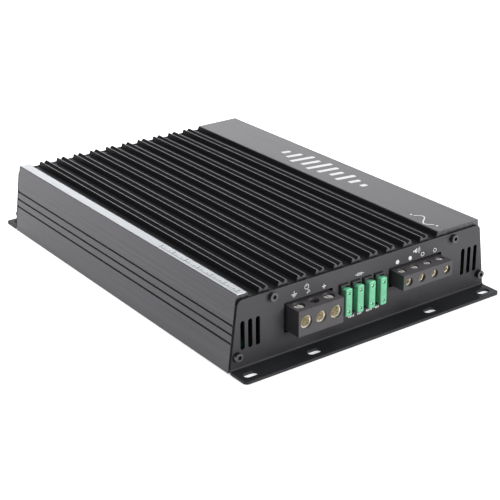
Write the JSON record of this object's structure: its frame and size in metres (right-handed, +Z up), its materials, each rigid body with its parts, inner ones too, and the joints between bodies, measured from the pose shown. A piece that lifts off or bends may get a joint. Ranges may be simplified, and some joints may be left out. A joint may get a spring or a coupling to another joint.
{
  "type": "car amplifier",
  "caption": "Finned aluminium car audio amplifier with folded end plates, screw terminals, blade fuses, input jacks, turning controls and its power stage inside.",
  "frame": {"origin": "centre of the rectangle that the amplifier stands on, at the underside of its flanges", "axes": "+X to the right across the case as seen facing the terminals, +Y along the case away from the terminals, +Z up out of the fins"},
  "size_m": [0.21, 0.316, 0.05],
  "materials": {
    "anodised_case": "satin black anodised, brushed along its length",
    "bare_trim": "bare brushed",
    "coated_plate": "fine satin black powder coat",
    "cover_sheet": "matt black",
    "black_screw": "black oxide",
    "zinc_screw": "bright zinc",
    "terminal_plastic": "moulded, satin",
    "terminal_metal": "nickel plated",
    "holder_plastic": "moulded, satin",
    "fuse_plastic": "translucent green moulding",
    "contact_metal": "tinned",
    "jack_plastic": "moulded",
    "jack_metal": "nickel plated",
    "jack_insulator": "moulded",
    "knob_plastic": "moulded, ribbed",
    "slider_plastic": "moulded",
    "switch_metal": "tinned",
    "lamp": "tinted",
    "board": "solder mask",
    "chip": "moulded epoxy",
    "ferrite": "epoxy coated",
    "copper_wire": "enamelled",
    "can_sleeve": "shrink sleeve",
    "pad_sheet": "silicone",
    "steel_bar": "plain"
  },
  "bodies": {
    "case": {"heatsink_body": "anodised_case", "trim_strip": "bare_trim", "bottom_cover": "cover_sheet", "bottom_cover_screws": "black_screw", "front_panel": "coated_plate", "rear_panel": "coated_plate", "front_panel_screws": "black_screw", "rear_panel_screws": "black_screw", "power_terminal_housing": "terminal_plastic", "power_terminal_sleeves": "terminal_metal", "speaker_terminal_housing": "terminal_plastic", "speaker_terminal_sleeves": "terminal_metal", "fuse_holder": "holder_plastic", "fuse_contacts": "contact_metal", "rca_housing": "jack_plastic", "rca_shells": "jack_metal", "rca_insulators": "jack_insulator", "rca_contacts": "jack_metal", "potentiometers": "jack_plastic", "phase_switch": "switch_metal", "remote_level_socket": "jack_plastic", "status_leds": "lamp", "main_board": "board", "main_board_screws": "zinc_screw", "control_board": "board", "control_board_spacers": "zinc_screw", "control_chips": "chip", "driver_chips": "chip", "transformer_core": "ferrite", "transformer_winding": "copper_wire", "output_coil_core": "ferrite", "output_coil_winding": "copper_wire", "input_choke_core": "ferrite", "input_choke_winding": "copper_wire", "input_capacitors": "can_sleeve", "rail_capacitors": "can_sleeve", "power_transistors": "chip", "insulating_pads": "pad_sheet", "clamp_bars": "steel_bar", "clamp_bar_screws": "zinc_screw"},
    "ground_screw": {"ground_clamp_screw": "zinc_screw"},
    "remote_screw": {"remote_clamp_screw": "zinc_screw"},
    "battery_screw": {"battery_clamp_screw": "zinc_screw"},
    "speaker_screw_1": {"speaker_clamp_screw_1": "zinc_screw"},
    "speaker_screw_2": {"speaker_clamp_screw_2": "zinc_screw"},
    "speaker_screw_3": {"speaker_clamp_screw_3": "zinc_screw"},
    "speaker_screw_4": {"speaker_clamp_screw_4": "zinc_screw"},
    "fuse_1": {"fuse_body_1": "fuse_plastic", "fuse_blades_1": "contact_metal"},
    "fuse_2": {"fuse_body_2": "fuse_plastic", "fuse_blades_2": "contact_metal"},
    "fuse_3": {"fuse_body_3": "fuse_plastic", "fuse_blades_3": "contact_metal"},
    "fuse_4": {"fuse_body_4": "fuse_plastic", "fuse_blades_4": "contact_metal"},
    "gain_control": {"gain_knob": "knob_plastic"},
    "lowpass_control": {"lowpass_knob": "knob_plastic"},
    "subsonic_control": {"subsonic_knob": "knob_plastic"},
    "bass_control": {"bass_knob": "knob_plastic"},
    "phase_control": {"phase_slider": "slider_plastic"}
  },
  "joints": [
    {"name": "ground_screw_lift", "type": "slide", "parent": "case", "child": "ground_screw", "axis": [0, 0, 1], "range_m": [-0.0049, 0.0009]},
    {"name": "remote_screw_lift", "type": "slide", "parent": "case", "child": "remote_screw", "axis": [0, 0, 1], "range_m": [-0.0045, 0.0024]},
    {"name": "battery_screw_lift", "type": "slide", "parent": "case", "child": "battery_screw", "axis": [0, 0, 1], "range_m": [-0.0049, 0.0009]},
    {"name": "speaker_screw_1_lift", "type": "slide", "parent": "case", "child": "speaker_screw_1", "axis": [0, 0, 1], "range_m": [-0.0028, 0.0004]},
    {"name": "speaker_screw_2_lift", "type": "slide", "parent": "case", "child": "speaker_screw_2", "axis": [0, 0, 1], "range_m": [-0.0028, 0.0004]},
    {"name": "speaker_screw_3_lift", "type": "slide", "parent": "case", "child": "speaker_screw_3", "axis": [0, 0, 1], "range_m": [-0.0028, 0.0004]},
    {"name": "speaker_screw_4_lift", "type": "slide", "parent": "case", "child": "speaker_screw_4", "axis": [0, 0, 1], "range_m": [-0.0028, 0.0004]},
    {"name": "fuse_1_pull", "type": "slide", "parent": "case", "child": "fuse_1", "axis": [0, -1, 0], "range_m": [0, 0.022]},
    {"name": "fuse_2_pull", "type": "slide", "parent": "case", "child": "fuse_2", "axis": [0, -1, 0], "range_m": [0, 0.022]},
    {"name": "fuse_3_pull", "type": "slide", "parent": "case", "child": "fuse_3", "axis": [0, -1, 0], "range_m": [0, 0.022]},
    {"name": "fuse_4_pull", "type": "slide", "parent": "case", "child": "fuse_4", "axis": [0, -1, 0], "range_m": [0, 0.022]},
    {"name": "bass_turn", "type": "hinge", "parent": "case", "child": "bass_control", "pos_m": [-0.026, 0.145, 0.028], "axis": [0, 1, 0], "range_deg": [-150, 150]},
    {"name": "subsonic_turn", "type": "hinge", "parent": "case", "child": "subsonic_control", "pos_m": [-0.009, 0.145, 0.028], "axis": [0, 1, 0], "range_deg": [-150, 150]},
    {"name": "lowpass_turn", "type": "hinge", "parent": "case", "child": "lowpass_control", "pos_m": [0.008, 0.145, 0.028], "axis": [0, 1, 0], "range_deg": [-150, 150]},
    {"name": "gain_turn", "type": "hinge", "parent": "case", "child": "gain_control", "pos_m": [0.025, 0.145, 0.028], "axis": [0, 1, 0], "range_deg": [-150, 150]},
    {"name": "phase_slide", "type": "slide", "parent": "case", "child": "phase_control", "axis": [1, 0, 0], "range_m": [0, 0.004]}
  ]
}
